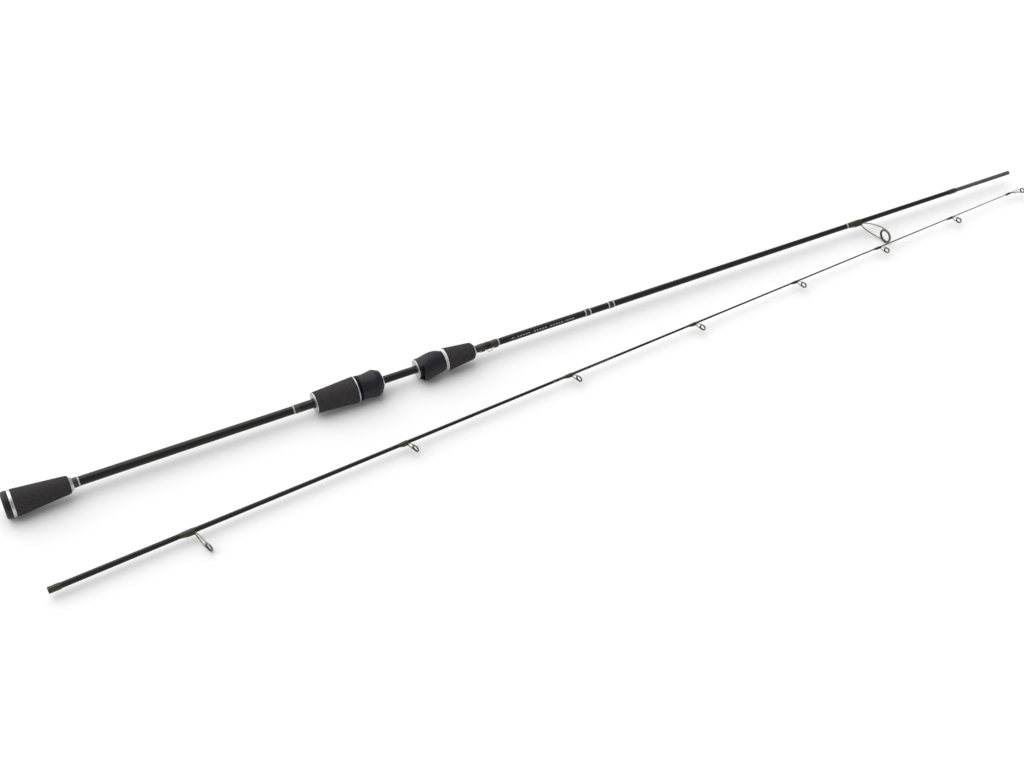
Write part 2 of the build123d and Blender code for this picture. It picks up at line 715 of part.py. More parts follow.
# Tip-top: a tube over the blank's end, three wires and a ring
tube_start, tube_end = TIP_TOP_TUBE
ring_station, ring_height, ring_diameter, ring_lean = TIP_TOP_RING
top_ring = ring_plane(TIP, ring_station, ring_height, ring_lean)
thickness, insert_outer, insert_inner = hoop_sizes(ring_diameter)
hoop_radius = insert_outer + thickness / 2
tube_middle = TIP_TOP_TUBE_RADIUS - TIP_TOP_WIRE
with BuildPart() as tip_top_frame:
    with BuildSketch(TIP):
        with BuildLine():
            Polyline(
                (tube_start, TIP_TOP_TUBE_RADIUS),
                (tube_end, TIP_TOP_TUBE_RADIUS),
                (tube_end, 0),
                (tip_end, 0),
                *bore_points(TIP_TAPER, tube_start, tip_end),
                close=True,
            )
        make_face()
    revolve(axis=rod_axis(TIP))
    add(guide_hoop(top_ring, ring_diameter, TIP_TOP_HOOP_WIDTH))
    wire_start = tube_end - TIP_TOP_WIRE * 2
    brace_end = hoop_point(top_ring, hoop_radius, 180)
    brace_start = TIP.from_local_coords((wire_start, tube_middle, 0))
    brace_middle = TIP.from_local_coords(((wire_start + ring_station) / 2, ring_height * TIP_TOP_BOW, 0))
    add(bowed_wire(brace_start, brace_middle, brace_end, TIP_TOP_WIRE))
    for side in (-1, 1):
        start = TIP.from_local_coords((wire_start, 0, side * tube_middle))
        end = hoop_point(top_ring, hoop_radius, side * TIP_TOP_SPREAD)
        middle = (start + end) / 2 + TIP.z_dir * side * TIP_TOP_WIRE
        add(bowed_wire(start, middle, end, TIP_TOP_WIRE))
    add(insert_space(top_ring, ring_diameter), mode=Mode.SUBTRACT)
save(tip_top_frame.part, "tip_top_frame")
save(ring_insert(top_ring, ring_diameter), "tip_top_ring")

wrap_start, wrap_end = TIP_TOP_WRAP
wrap_rear = radius_at(TIP_TAPER, wrap_start) + WRAP
with BuildPart() as tip_top_wrap:
    with BuildSketch(TIP):
        with BuildLine():
            Polyline(
                (wrap_start, wrap_rear),
                (tube_start, TIP_TOP_WRAP_RADIUS),
                (wrap_end, TIP_TOP_WRAP_RADIUS),
                (wrap_end, TIP_TOP_TUBE_RADIUS + GLUE),
                (tube_start - GLUE, TIP_TOP_TUBE_RADIUS + GLUE),
                *bore_points(TIP_TAPER, wrap_start, tube_start - GLUE),
                close=True,
            )
        make_face()
    revolve(axis=rod_axis(TIP))
save(tip_top_wrap.part, "tip_top_wrap")

# Alignment dot: a small varnished disc on the back of the ferrule winding
dot_turn = math.radians(TIP_HEADING + DOT_TURN)
dot_normal = Vector(-math.sin(dot_turn), math.cos(dot_turn), 0)
dot_centre = TIP.from_local_coords((DOT_STATION, 0, 0))
dot_base = dot_centre + dot_normal * (TIP_FERRULE_RADIUS + DOT_GAP)
with BuildPart() as alignment_dot:
    with BuildSketch(Plane(origin=dot_base, z_dir=dot_normal)):
        Circle(DOT_RADIUS)
    extrude(amount=DOT_THICKNESS)
    fillet(alignment_dot.faces().sort_by(Axis(dot_base, dot_normal))[-1].edges(), DOT_THICKNESS / 2)
save(alignment_dot.part, "alignment_dot")
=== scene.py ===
import json
import math

import bmesh
import bpy
from mathutils import Matrix, Vector


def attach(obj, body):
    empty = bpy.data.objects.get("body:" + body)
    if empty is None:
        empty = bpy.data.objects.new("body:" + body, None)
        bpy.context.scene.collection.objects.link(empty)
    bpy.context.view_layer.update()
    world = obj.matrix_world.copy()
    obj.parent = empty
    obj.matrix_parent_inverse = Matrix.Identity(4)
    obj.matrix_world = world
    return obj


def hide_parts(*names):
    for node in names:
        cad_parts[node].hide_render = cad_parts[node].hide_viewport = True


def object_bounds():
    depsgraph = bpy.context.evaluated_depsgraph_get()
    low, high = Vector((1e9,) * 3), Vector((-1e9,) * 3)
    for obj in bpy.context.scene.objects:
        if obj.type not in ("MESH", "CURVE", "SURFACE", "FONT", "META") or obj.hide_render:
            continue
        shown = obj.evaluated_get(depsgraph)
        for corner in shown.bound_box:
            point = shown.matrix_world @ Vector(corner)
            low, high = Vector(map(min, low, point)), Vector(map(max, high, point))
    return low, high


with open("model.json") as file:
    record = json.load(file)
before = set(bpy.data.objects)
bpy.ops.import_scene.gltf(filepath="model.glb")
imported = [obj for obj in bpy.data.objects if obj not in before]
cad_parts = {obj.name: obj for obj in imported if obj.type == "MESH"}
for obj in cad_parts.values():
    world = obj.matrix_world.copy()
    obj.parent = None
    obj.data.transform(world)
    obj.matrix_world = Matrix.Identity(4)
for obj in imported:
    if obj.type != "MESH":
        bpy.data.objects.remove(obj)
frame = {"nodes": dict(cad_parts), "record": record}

CAD_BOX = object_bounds()
NODES = frame["nodes"]
MOUNTS = {mount["name"]: mount for mount in frame["record"]["mounts"]}
MM = 0.001
TURN = 2 * math.pi
BLANK_ROWS = 60        # rings of faces along the butt blank; the tip's has twice as many

# Painted shade in the rear hood's groove and the row of dashes, in metres along the section: each
# band's soft rise and soft fall
HOOD_GROOVE = (0.3016, 0.3021, 0.3040, 0.3050)
DASH_ROW = (0.4497, 0.4499, 0.5149, 0.5151)
DASH_PITCH = 0.0028
DASH_GROUP = 0.0163
DASH_PLACE = -0.108    # turns round the blank from the guides' side
DASH_HALF_HEIGHT = 0.030

# Sizes in mm, and the angles in degrees round a hoop from the rod to where a leg meets it
VARNISH = 0.3          # how proud a winding stands of the blank
BLANK_WALL = 0.75
CAP_RECESS_RADIUS = 7.6
CAP_RECESS_DEPTH = 1.5
KNURL_DEPTH = 0.3
HOOD_VOXEL = 0.28
SEAT_THREAD_LENGTH = 4.6
KEEPER_WIRE = 0.42
KEEPER_HEIGHT = 2.8
KEEPER_RISE = 425.2
KEEPER_FALL = 430.2
GUIDE_WIRES = (0.6, 0.5, 0.44, 0.42, 0.42, 0.4, 0.4, 0.4)
GUIDE_LEG_ANGLE = 72
TIP_TOP_WIRE = 0.32
TIP_TOP_TUBE_RADIUS = 0.75
TIP_TOP_LEG_ANGLE = 50

# Camera and light, in metres, with the camera placed from the floor under the butt cap
LENS = 51.99
CAMERA_FROM_CAP = (-0.0118, -0.8742, 0.8913)
HEADING, ELEVATION, ROLL = (math.radians(angle) for angle in (28.02, 43.42, 1.1))
FLOOR_HALF = 6.0
FLOOR_GAP = 0.0003
SKY_STRENGTH = 0.42
SUN_STRENGTH = 2.95
SUN_SPREAD = math.radians(100)
SUN_FROM = (-0.377, 0.583, 0.8)


# ---- Frames of the two rod sections ----


class Section:
    """A rod section's own frame, in mm: x along the rod from its rear end, y towards its guides."""

    def __init__(self, body, tail, along, ring):
        along = along.normalized()
        away = ring - tail
        away = (away - along * away.dot(along)).normalized()
        self.body = body
        self.matrix = Matrix((along, away, along.cross(away))).transposed().to_4x4()
        self.matrix.translation = tail
        self.inverse = self.matrix.inverted()

    def local(self, point):
        return (self.inverse @ Vector(point)) / MM

    def turned(self, direction):
        return self.inverse.to_3x3() @ Vector(direction)

    def outline(self, node):
        """Stations along a CAD node's outward faces with the largest radius at each, in order."""
        radii = {}
        mesh = NODES[node].data
        for polygon in mesh.polygons:
            centre = self.local(polygon.center)
            normal = self.turned(polygon.normal)
            if normal.y * centre.y + normal.z * centre.z <= 0.01:
                continue
            for index in polygon.vertices:
                point = self.local(mesh.vertices[index].co)
                station = round(point.x, 2)
                radii[station] = max(radii.get(station, 0), math.hypot(point.y, point.z))
        return sorted(radii.items())

    def bore(self, node):
        """A CAD node's smallest distance from the rod's axis."""
        points = [self.local(vertex.co) for vertex in NODES[node].data.vertices]
        return min(math.hypot(point.y, point.z) for point in points)


def section(body, rear_node, mount, forwards, ring_mount):
    """The frame of the section that a ferrule mount and a line ring belong to."""
    along = Vector(MOUNTS[mount]["axis"]) * forwards
    on_axis = Vector(MOUNTS[mount]["pos_m"])
    rear = min((vertex.co - on_axis).dot(along) for vertex in NODES[rear_node].data.vertices)
    return Section(body, on_axis + along * rear, along, Vector(MOUNTS[ring_mount]["pos_m"]))


BUTT = section("butt_section", "butt_cap", "ferrule_spigot", 1, "line_ring_1")
TIP = section("tip_section", "tip_blank", "ferrule_socket", -1, "line_ring_2")
BUTT_OUTLINE = BUTT.outline("butt_blank")
TIP_OUTLINE = TIP.outline("tip_blank")


def radius_at(outline, station):
    """The radius at a station, between the two outline points beside it."""
    for (rear, rear_radius), (front, front_radius) in zip(outline, outline[1:]):
        if station <= front:
            share = (station - rear) / (front - rear)
            return rear_radius + share * (front_radius - rear_radius)
    return outline[-1][1]


def blank_radius(where, station):
    """The radius of a section's blank, without what is wound on it."""
    return radius_at(BUTT_OUTLINE if where is BUTT else TIP_OUTLINE, station)


# ---- Materials ----


class Look:
    """A node material being built: the Principled shader and a few short ways to wire it."""

    def __init__(self, name, color, roughness, **inputs):
        self.material = bpy.data.materials.new(name)
        self.material.use_nodes = True
        self.nodes = self.material.node_tree.nodes
        self.links = self.material.node_tree.links
        self.shader = self.nodes["Principled BSDF"]
        self.shader.inputs["Base Color"].default_value = (*color, 1)
        self.shader.inputs["Roughness"].default_value = roughness
        for key, value in inputs.items():
            self.shader.inputs[key.replace("_", " ")].default_value = value

    def put(self, socket, value):
        if isinstance(value, bpy.types.NodeSocket):
            self.links.new(value, socket)
        else:
            socket.default_value = value

    def math(self, operation, *values):
        node = self.nodes.new("ShaderNodeMath")
        node.operation = operation
        for socket, value in zip(node.inputs, values):
            self.put(socket, value)
        return node.outputs[0]

    def place(self):
        """Object coordinates in metres, which are the section's own x, y and z."""
        return self.nodes.new("ShaderNodeTexCoord").outputs["Object"]

    def axes(self, place):
        """The x, y and z of a place, as three sockets."""
        split = self.nodes.new("ShaderNodeSeparateXYZ")
        self.links.new(place, split.inputs[0])
        return split.outputs["X"], split.outputs["Y"], split.outputs["Z"]

    def noise(self, vector, scale, detail=3.0, roughness=0.5):
        node = self.nodes.new("ShaderNodeTexNoise")
        self.put(node.inputs["Vector"], vector)
        node.inputs["Scale"].default_value = scale
        node.inputs["Detail"].default_value = detail
        node.inputs["Roughness"].default_value = roughness
        return node.outputs["Fac"]

    def cells(self, vector, scale):
        node = self.nodes.new("ShaderNodeTexVoronoi")
        self.put(node.inputs["Vector"], vector)
        node.inputs["Scale"].default_value = scale
        return node.outputs["Distance"]

    def ramp(self, value, low, high, low_to=0.0, high_to=1.0):
        node = self.nodes.new("ShaderNodeMapRange")
        node.interpolation_type = "SMOOTHSTEP"
        for socket, number in zip(node.inputs, (value, low, high, low_to, high_to)):
            self.put(socket, number)
        return node.outputs[0]

    def band(self, value, rise_from, rise_to, fall_from, fall_to):
        """1 between two soft edges and 0 outside them."""
        rise = self.ramp(value, rise_from, rise_to)
        return self.math("MULTIPLY", rise, self.ramp(value, fall_from, fall_to, 1.0, 0.0))

    def mix(self, share, first, second):
        node = self.nodes.new("ShaderNodeMix")
        node.data_type = "RGBA"
        self.put(node.inputs["Factor"], share)
        for socket, color in zip((node.inputs[6], node.inputs[7]), (first, second)):
            self.put(socket, (*color, 1) if isinstance(color, tuple) else color)
        return node.outputs[2]

    def vector(self, x, y, z):
        node = self.nodes.new("ShaderNodeCombineXYZ")
        for socket, value in zip(node.inputs, (x, y, z)):
            self.put(socket, value)
        return node.outputs[0]

    def set(self, name, value):
        self.put(self.shader.inputs[name], value)

    def bump(self, height, strength, distance_mm):
        node = self.nodes.new("ShaderNodeBump")
        node.inputs["Strength"].default_value = strength
        node.inputs["Distance"].default_value = distance_mm * MM
        self.put(node.inputs["Height"], height)
        self.set("Normal", node.outputs["Normal"])


def foam_look():
    """Closed-cell foam: matt, slightly mottled, with fine pores whose pits are painted darker as
    shade.
    """
    look = Look("eva_foam", (0.045, 0.041, 0.042), 0.9, Specular_IOR_Level=0.15)
    place = look.place()
    mottle = look.noise(place, 520, 4, 0.6)
    pores = look.ramp(look.cells(place, 2100), 0.12, 0.5)
    fine = look.noise(place, 3000, 2)
    shade = look.ramp(mottle, 0.25, 0.75)
    tone = look.mix(shade, (0.037, 0.0340, 0.0350), (0.056, 0.0515, 0.0525))
    # painted shade: the pits of the pores are coloured darker
    look.set("Base Color", look.mix(pores, (0.019, 0.0172, 0.0176), tone))
    look.set("Roughness", look.ramp(fine, 0.3, 0.7, 0.82, 0.95))
    look.bump(look.math("ADD", pores, look.math("MULTIPLY", fine, 0.6)), 0.45, 0.15)
    return look.material


def soft_touch_look():
    """Soft-touch coating over moulded plastic, blue-black, with painted shade in the rear hood's
    groove.
    """
    look = Look("soft_touch", (0.011, 0.011, 0.016), 0.46, Specular_IOR_Level=0.3)
    place = look.place()
    x = look.axes(place)[0]
    grain = look.noise(place, 5200, 2)
    cloud = look.noise(place, 160, 3)
    tone = look.mix(cloud, (0.008, 0.0075, 0.012), (0.0155, 0.0145, 0.022))
    groove = look.band(x, *HOOD_GROOVE)
    # painted shade: the groove is coloured near black, and its reflection turned down, to stand in
    # for its shadow
    depth = look.math("MULTIPLY", groove, 0.85)
    look.set("Base Color", look.mix(depth, tone, (0.0012, 0.0011, 0.0016)))
    look.set("Roughness", look.ramp(cloud, 0.3, 0.7, 0.40, 0.52))
    look.set("Specular IOR Level", look.ramp(groove, 0.0, 1.0, 0.3, 0.08))
    look.bump(grain, 0.12, 0.03)
    return look.material


def silver_look(name, color, roughness):
    """Turned aluminium: fine rings round the rod's axis, from the lathe."""
    look = Look(name, color, roughness, Metallic=1.0)
    place = look.place()
    x, y, z = look.axes(place)
    squares = [look.math("MULTIPLY", axis, axis) for axis in (y, z)]
    out = look.math("SQRT", look.math("ADD", *squares))
    along = look.vector(look.math("ADD", x, out), look.math("SUBTRACT", x, out), 0.0)
    rings = look.noise(along, 4200, 2)
    dull = look.noise(place, 700, 3)
    dark = tuple(channel * 0.62 for channel in color)
    look.set("Base Color", look.mix(look.ramp(rings, 0.35, 0.6), dark, color))
    look.set("Roughness", look.ramp(dull, 0.3, 0.7, roughness - 0.05, roughness + 0.08))
    look.bump(rings, 0.3, 0.04)
    return look.material


def angle_of(look, y, z):
    """The angle round the rod from the guides' side, in turns."""
    return look.math("DIVIDE", look.math("ARCTAN2", z, y), TURN)


def carbon_look():
    """Clear-coated carbon: two crossing helical tapes, and a row of plain silver dashes."""
    look = Look("carbon_blank", (0.006, 0.0055, 0.0052), 0.36, Specular_IOR_Level=0.14)
    look.set("Coat Weight", 0.3)
    look.set("Coat Roughness", 0.12)
    x, y, z = look.axes(look.place())
    angle = angle_of(look, y, z)
    tapes = []
    for direction in (1, -1):
        lean = look.math("MULTIPLY", angle, 4.0 * direction)
        phase = look.math("ADD", look.math("MULTIPLY", x, 330.0), lean)
        tapes.append(look.math("SINE", look.math("MULTIPLY", phase, TURN)))
    crossing = look.math("MULTIPLY", *tapes)
    weave = look.ramp(crossing, -0.35, 0.35)
    fibre = look.noise(look.vector(look.math("MULTIPLY", x, 0.25), y, z), 4200, 2)
    carbon = look.mix(weave, (0.0028, 0.0025, 0.0024), (0.0165, 0.0145, 0.0132))
    carbon = look.mix(look.math("MULTIPLY", fibre, 0.3), carbon, (0.024, 0.021, 0.019))
    row = look.band(x, *DASH_ROW)
    pace = look.math("FRACT", look.math("MULTIPLY", x, 1 / DASH_PITCH))
    group = look.math("FRACT", look.math("MULTIPLY", x, 1 / DASH_GROUP))
    dash = look.band(pace, 0.02, 0.08, 0.66, 0.72)
    dash = look.math("MULTIPLY", dash, look.ramp(group, 0.86, 0.87, 1.0, 0.0))
    aside = look.math("ABSOLUTE", look.math("ADD", angle, -DASH_PLACE))
    height = look.ramp(aside, DASH_HALF_HEIGHT, DASH_HALF_HEIGHT + 0.004, 1.0, 0.0)
    mark = look.math("MULTIPLY", look.math("MULTIPLY", row, dash), height)
    look.set("Base Color", look.mix(mark, carbon, (0.30, 0.31, 0.30)))
    look.set("Roughness", look.ramp(crossing, -0.5, 0.5, 0.44, 0.30))
    look.bump(weave, 0.08, 0.02)
    return look.material


def spigot_look():
    """The ground end of the blank: matt grey laminate with fine rings from the grinding."""
    look = Look("ground_carbon", (0.065, 0.058, 0.056), 0.62, Specular_IOR_Level=0.3)
    place = look.place()
    x = look.axes(place)[0]
    rings = look.noise(look.vector(x, 0.0, 0.0), 6500, 2)
    cloud = look.noise(place, 240, 4)
    look.set("Base Color", look.mix(cloud, (0.070, 0.059, 0.057), (0.125, 0.110, 0.107)))
    look.bump(rings, 0.3, 0.03)
    return look.material


def thread_look(name, dark, light, glint):
    """Turns of thread laid side by side round the rod, under a thick coat of varnish, with painted
    shade in the furrows between turns and painted glints on their crests.
    """
    look = Look(name, dark, 0.45, Specular_IOR_Level=0.25, Coat_Weight=0.35, Coat_Roughness=0.06)
    place = look.place()
    x, y, z = look.axes(place)
    lay = look.math("ADD", look.math("MULTIPLY", x, 4200.0), angle_of(look, y, z))
    turns = look.math("ABSOLUTE", look.math("SINE", look.math("MULTIPLY", lay, math.pi)))
    spread = look.noise(look.vector(look.math("MULTIPLY", x, 5.0), y, z), 520, 3)
    sparkle = look.ramp(look.noise(place, 2600, 2), 0.52, 0.75)
    patch = look.ramp(spread, 0.38, 0.62)
    tone = look.mix(patch, dark, light)
    # painted highlight: the glint colour on the crests of the turns, where the sparkle noise is
    # high
    tone = look.mix(look.math("MULTIPLY", sparkle, turns), tone, glint)
    # painted shade: the furrows between the turns are coloured darker
    furrow_shade = tuple(channel * 0.35 for channel in dark)
    look.set("Base Color", look.mix(look.ramp(turns, 0.0, 0.5), furrow_shade, tone))
    look.set("Metallic", look.math("MULTIPLY", patch, 0.35))
    look.bump(turns, 0.25, 0.03)
    return look.material


def wire_look():
    """Polished steel wire with faint drawing lines and a little tarnish."""
    look = Look("guide_wire", (0.26, 0.25, 0.23), 0.34, Metallic=1.0)
    place = look.place()
    tarnish = look.noise(place, 900, 4)
    look.set("Base Color", look.mix(tarnish, (0.19, 0.18, 0.16), (0.34, 0.33, 0.30)))
    look.set("Roughness", look.ramp(tarnish, 0.3, 0.7, 0.26, 0.42))
    look.bump(look.noise(place, 5200, 2), 0.1, 0.02)
    return look.material


def ceramic_look():
    """Polished dark ceramic."""
    look = Look("ring_ceramic", (0.02, 0.02, 0.022), 0.16, Specular_IOR_Level=0.5)
    place = look.place()
    cloud = look.noise(place, 1500, 3)
    look.set("Base Color", look.mix(cloud, (0.014, 0.013, 0.015), (0.028, 0.027, 0.030)))
    look.set("Roughness", look.ramp(cloud, 0.3, 0.7, 0.12, 0.22))
    return look.material


def plain_moulding_look():
    """Unpainted moulded plastic for what the grips hide."""
    look = Look("seat_polymer", (0.02, 0.02, 0.02), 0.55)
    place = look.place()
    grain = look.noise(place, 2400, 3)
    look.set("Base Color", look.mix(grain, (0.014, 0.014, 0.014), (0.028, 0.028, 0.027)))
    look.bump(grain, 0.15, 0.04)
    return look.material


def dot_look():
    """A painted dot under varnish."""
    look = Look("dot_varnish", (0.6, 0.6, 0.57), 0.3, Coat_Weight=1.0, Coat_Roughness=0.05)
    place = look.place()
    cloud = look.noise(place, 1800, 3)
    look.set("Base Color", look.mix(cloud, (0.5, 0.5, 0.47), (0.68, 0.68, 0.65)))
    return look.material


def floor_look():
    """A plain pale floor, barely mottled."""
    look = Look("studio_floor", (0.93, 0.93, 0.93), 0.9, Specular_IOR_Level=0.1)
    place = look.place()
    cloud = look.noise(place, 9, 3)
    look.set("Base Color", look.mix(cloud, (0.92, 0.92, 0.92), (0.94, 0.94, 0.94)))
    return look.material


FOAM = foam_look()
SOFT_TOUCH = soft_touch_look()
SILVER = silver_look("bright_metal", (0.66, 0.67, 0.665), 0.36)
PALE_SILVER = silver_look("bright_metal_disc", (0.58, 0.61, 0.58), 0.44)
CARBON = carbon_look()
GROUND = spigot_look()
OLIVE_THREAD = thread_look(
    "olive_thread", (0.010, 0.009, 0.006), (0.058, 0.050, 0.024), (0.16, 0.14, 0.075)
)
BLACK_THREAD = thread_look(
    "black_thread", (0.004, 0.004, 0.004), (0.013, 0.012, 0.010), (0.04, 0.037, 0.028)
)
SILVER_THREAD = thread_look(
    "silver_thread", (0.42, 0.42, 0.41), (0.62, 0.62, 0.60), (0.85, 0.85, 0.83)
)
WIRE = wire_look()
CERAMIC = ceramic_look()
POLYMER = plain_moulding_look()
DOT = dot_look()


# ---- Mesh helpers; all outlines are in mm in a section's frame ----


def eased(points, radius, closed=True, steps=4):
    """The outline with each corner swept round, by at most 45% of the shorter edge beside it."""
    count = len(points)
    made = []
    for i, point in enumerate(points):
        here = Vector(point[:2])
        if not closed and i in (0, count - 1):
            made.append(tuple(here))
            continue
        before = Vector(points[i - 1][:2]) - here
        after = Vector(points[(i + 1) % count][:2]) - here
        reach = min(radius, before.length * 0.45, after.length * 0.45)
        first = here + before.normalized() * reach
        last = here + after.normalized() * reach
        for step in range(steps + 1):
            t = step / steps
            made.append(tuple(first * (1 - t) ** 2 + here * 2 * t * (1 - t) + last * t**2))
    return made


def lathe_mesh(name, outline, segments=96, relief=None, inside=Matrix.Identity(4)):
    """A surface of revolution about x, from points (x, radius) or (x, radius, shift in y).

    relief(x, angle) is added to the radius, and inside is the lathe's place in its section.
    """
    mesh = bpy.data.meshes.new(name)
    built = bmesh.new()
    rings = []
    for x, radius, *shift in outline:
        ring = []
        for k in range(segments):
            angle = TURN * k / segments
            out = radius + (relief(x, angle) if relief else 0)
            point = Vector((x, out * math.cos(angle) + sum(shift), out * math.sin(angle)))
            ring.append(built.verts.new((inside @ point) * MM))
        rings.append(ring)
    pairs = list(zip(rings, rings[1:]))
    if outline[0][1] > 0:
        pairs.append((rings[-1], rings[0]))
    for rear, front in pairs:
        for k in range(segments):
            after = (k + 1) % segments
            built.faces.new((rear[k], rear[after], front[after], front[k]))
    bmesh.ops.remove_doubles(built, verts=built.verts, dist=1e-8)
    bmesh.ops.dissolve_degenerate(built, edges=built.edges, dist=1e-8)
    bmesh.ops.recalc_face_normals(built, faces=built.faces)
    built.to_mesh(mesh)
    built.free()
    return mesh


def tube_mesh(name, path, radius, sides=14):
    """A round wire along a path of points. radius is a number, or a function of 0 to 1 along it."""
    mesh = bpy.data.meshes.new(name)
    built = bmesh.new()
    side = None
    rings = []
    count = len(path)
    for i, point in enumerate(path):
        heading = (path[min(i + 1, count - 1)] - path[max(i - 1, 0)]).normalized()
        if side is None:
            side = heading.orthogonal().normalized()
        side = (side - heading * side.dot(heading)).normalized()
        other = heading.cross(side)
        size = radius(i / (count - 1)) if callable(radius) else radius
        ring = []
        for k in range(sides):
            angle = TURN * k / sides
            offset = (side * math.cos(angle) + other * math.sin(angle)) * size
            ring.append(built.verts.new((point + offset) * MM))
        rings.append(ring)
    for rear, front in zip(rings, rings[1:]):
        for k in range(sides):
            after = (k + 1) % sides
            built.faces.new((rear[k], rear[after], front[after], front[k]))
    built.faces.new(rings[0])
    built.faces.new(rings[-1])
    bmesh.ops.recalc_face_normals(built, faces=built.faces)
    built.to_mesh(mesh)
    built.free()
    return mesh


def bezier(start, first, second, end, steps=18):
    """Points along a cubic Bezier curve."""
    path = []
    for step in range(steps + 1):
        t = step / steps
        u = 1 - t
        path.append(start * u**3 + first * 3 * u * u * t + second * 3 * u * t * t + end * t**3)
    return path


def sharpen(mesh, angle=35):
    """Smooth shading, with sharp edges where faces turn by more than the angle."""
    for polygon in mesh.polygons:
        polygon.use_smooth = True
    mesh.set_sharp_from_angle(angle=math.radians(angle))


def fitted(name, mesh, where, looks, node, body=None, bands=()):
    """Puts a finished mesh in its section, on its body, in place of a CAD node.

    Each look after the first starts at the station in mm that bands gives for it.
    """
    for look in looks:
        mesh.materials.append(look)
    for polygon in mesh.polygons:
        station = polygon.center.x / MM
        polygon.material_index = sum(1 for start in bands if station > start)
    sharpen(mesh)
    piece = bpy.data.objects.new(name, mesh)
    bpy.context.scene.collection.objects.link(piece)
    piece.matrix_world = where.matrix
    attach(piece, body or where.body)
    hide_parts(node)
    return piece


def merged(name, meshes):
    """One closed mesh from several that overlap."""
    pieces = []
    for mesh in meshes:
        piece = bpy.data.objects.new(name, mesh)
        bpy.context.scene.collection.objects.link(piece)
        pieces.append(piece)
    for other in pieces[1:]:
        join = pieces[0].modifiers.new("join", "BOOLEAN")
        join.operation = "UNION"
        join.solver = "EXACT"
        join.object = other
    bpy.context.view_layer.update()
    whole = pieces[0].evaluated_get(bpy.context.evaluated_depsgraph_get())
    mesh = bpy.data.meshes.new_from_object(whole)
    for piece in pieces:
        bpy.data.objects.remove(piece)
    mesh.name = name
    return mesh


# ---- Turned pieces ----


def annulus(name, node, look, edge, body, segments=96, relief=None, rows=1):
    """A turned ring or cone on a CAD ring's own ends and radii: eased, or in rows for a relief."""
    outline = BUTT.outline(node)
    bore = BUTT.bore(node)
    (start, start_radius), (end, end_radius) = outline[0], outline[-1]
    outer = []
    for row in range(rows + 1):
        t = row / rows
        outer.append((start + (end - start) * t, start_radius + (end_radius - start_radius) * t))
    corners = [(start, bore), *outer, (end, bore)]
    points = eased(corners, edge) if rows == 1 else corners
    mesh = lathe_mesh(name, points, segments, relief)
    fitted(name, mesh, BUTT, [look], node, body)


def bead(start, end, rear_feather, front_feather):
    """Stations along a bead with how fully it has swollen at each."""
    steps = 8
    rear = [(start + rear_feather * i / steps, i / steps) for i in range(steps + 1)]
    front = [(end - front_feather * i / steps, i / steps) for i in range(steps, -1, -1)]
    return [(station, math.sin(t * math.pi / 2) ** 0.8) for station, t in rear + front]


def winding(name, where, node, look, lift=0.0, foot=0.0):
    """A varnished winding: a bead that feathers out on the blank, slowly up the ramp of a foot."""
    outline = where.outline(node)
    start, end = outline[0][0], outline[-1][0]
    length = end - start
    proud = VARNISH + lift
    rear_feather = length * 0.6 if foot else min(1.1, length * 0.3)
    points = [(start, blank_radius(where, start) - 0.12)]
    for station, swell in bead(start, end, rear_feather, min(1.1, length * 0.3)):
        rise = swell * swell if foot else swell
        radius = blank_radius(where, station) + 0.01 + proud * swell + foot / 2 * rise
        points.append((station, radius, foot / 2 * rise))
    points.append((end, blank_radius(where, end) - 0.12))
    mesh = lathe_mesh(name, points, 72)
    fitted(name, mesh, where, [look], node)


def foam_grip(name, node, body, shoulder_share, nose_round):
    """A foam grip: straight flanks, an eased rear edge and a rounded nose."""
    outline = BUTT.outline(node)
    bore = BUTT.bore(node)
    start, start_radius = outline[0]
    end, end_radius = outline[-1]
    shoulder = start + (end - start) * shoulder_share
    shoulder_radius = radius_at(outline, shoulder)
    flank = []
    rows = 24
    for row in range(rows + 1):
        t = row / rows
        radius = start_radius + (shoulder_radius - start_radius) * t
        flank.append((start + (shoulder - start) * t, radius))
    nose = []
    for row in range(1, 13):
        t = row / 12 * math.pi / 2
        x = shoulder + (end - shoulder) * math.sin(t)
        nose.append((x, end_radius + (shoulder_radius - end_radius) * math.cos(t) ** nose_round))
    rear = [(start, start_radius - 0.5), (start + 0.14, start_radius - 0.15)]
    points = [(start, bore), *rear, (start + 0.5, flank[0][1]), *flank[1:], *nose, (end, bore)]
    mesh = lathe_mesh(name, points, 128)
    fitted(name, mesh, BUTT, [FOAM], node, body)


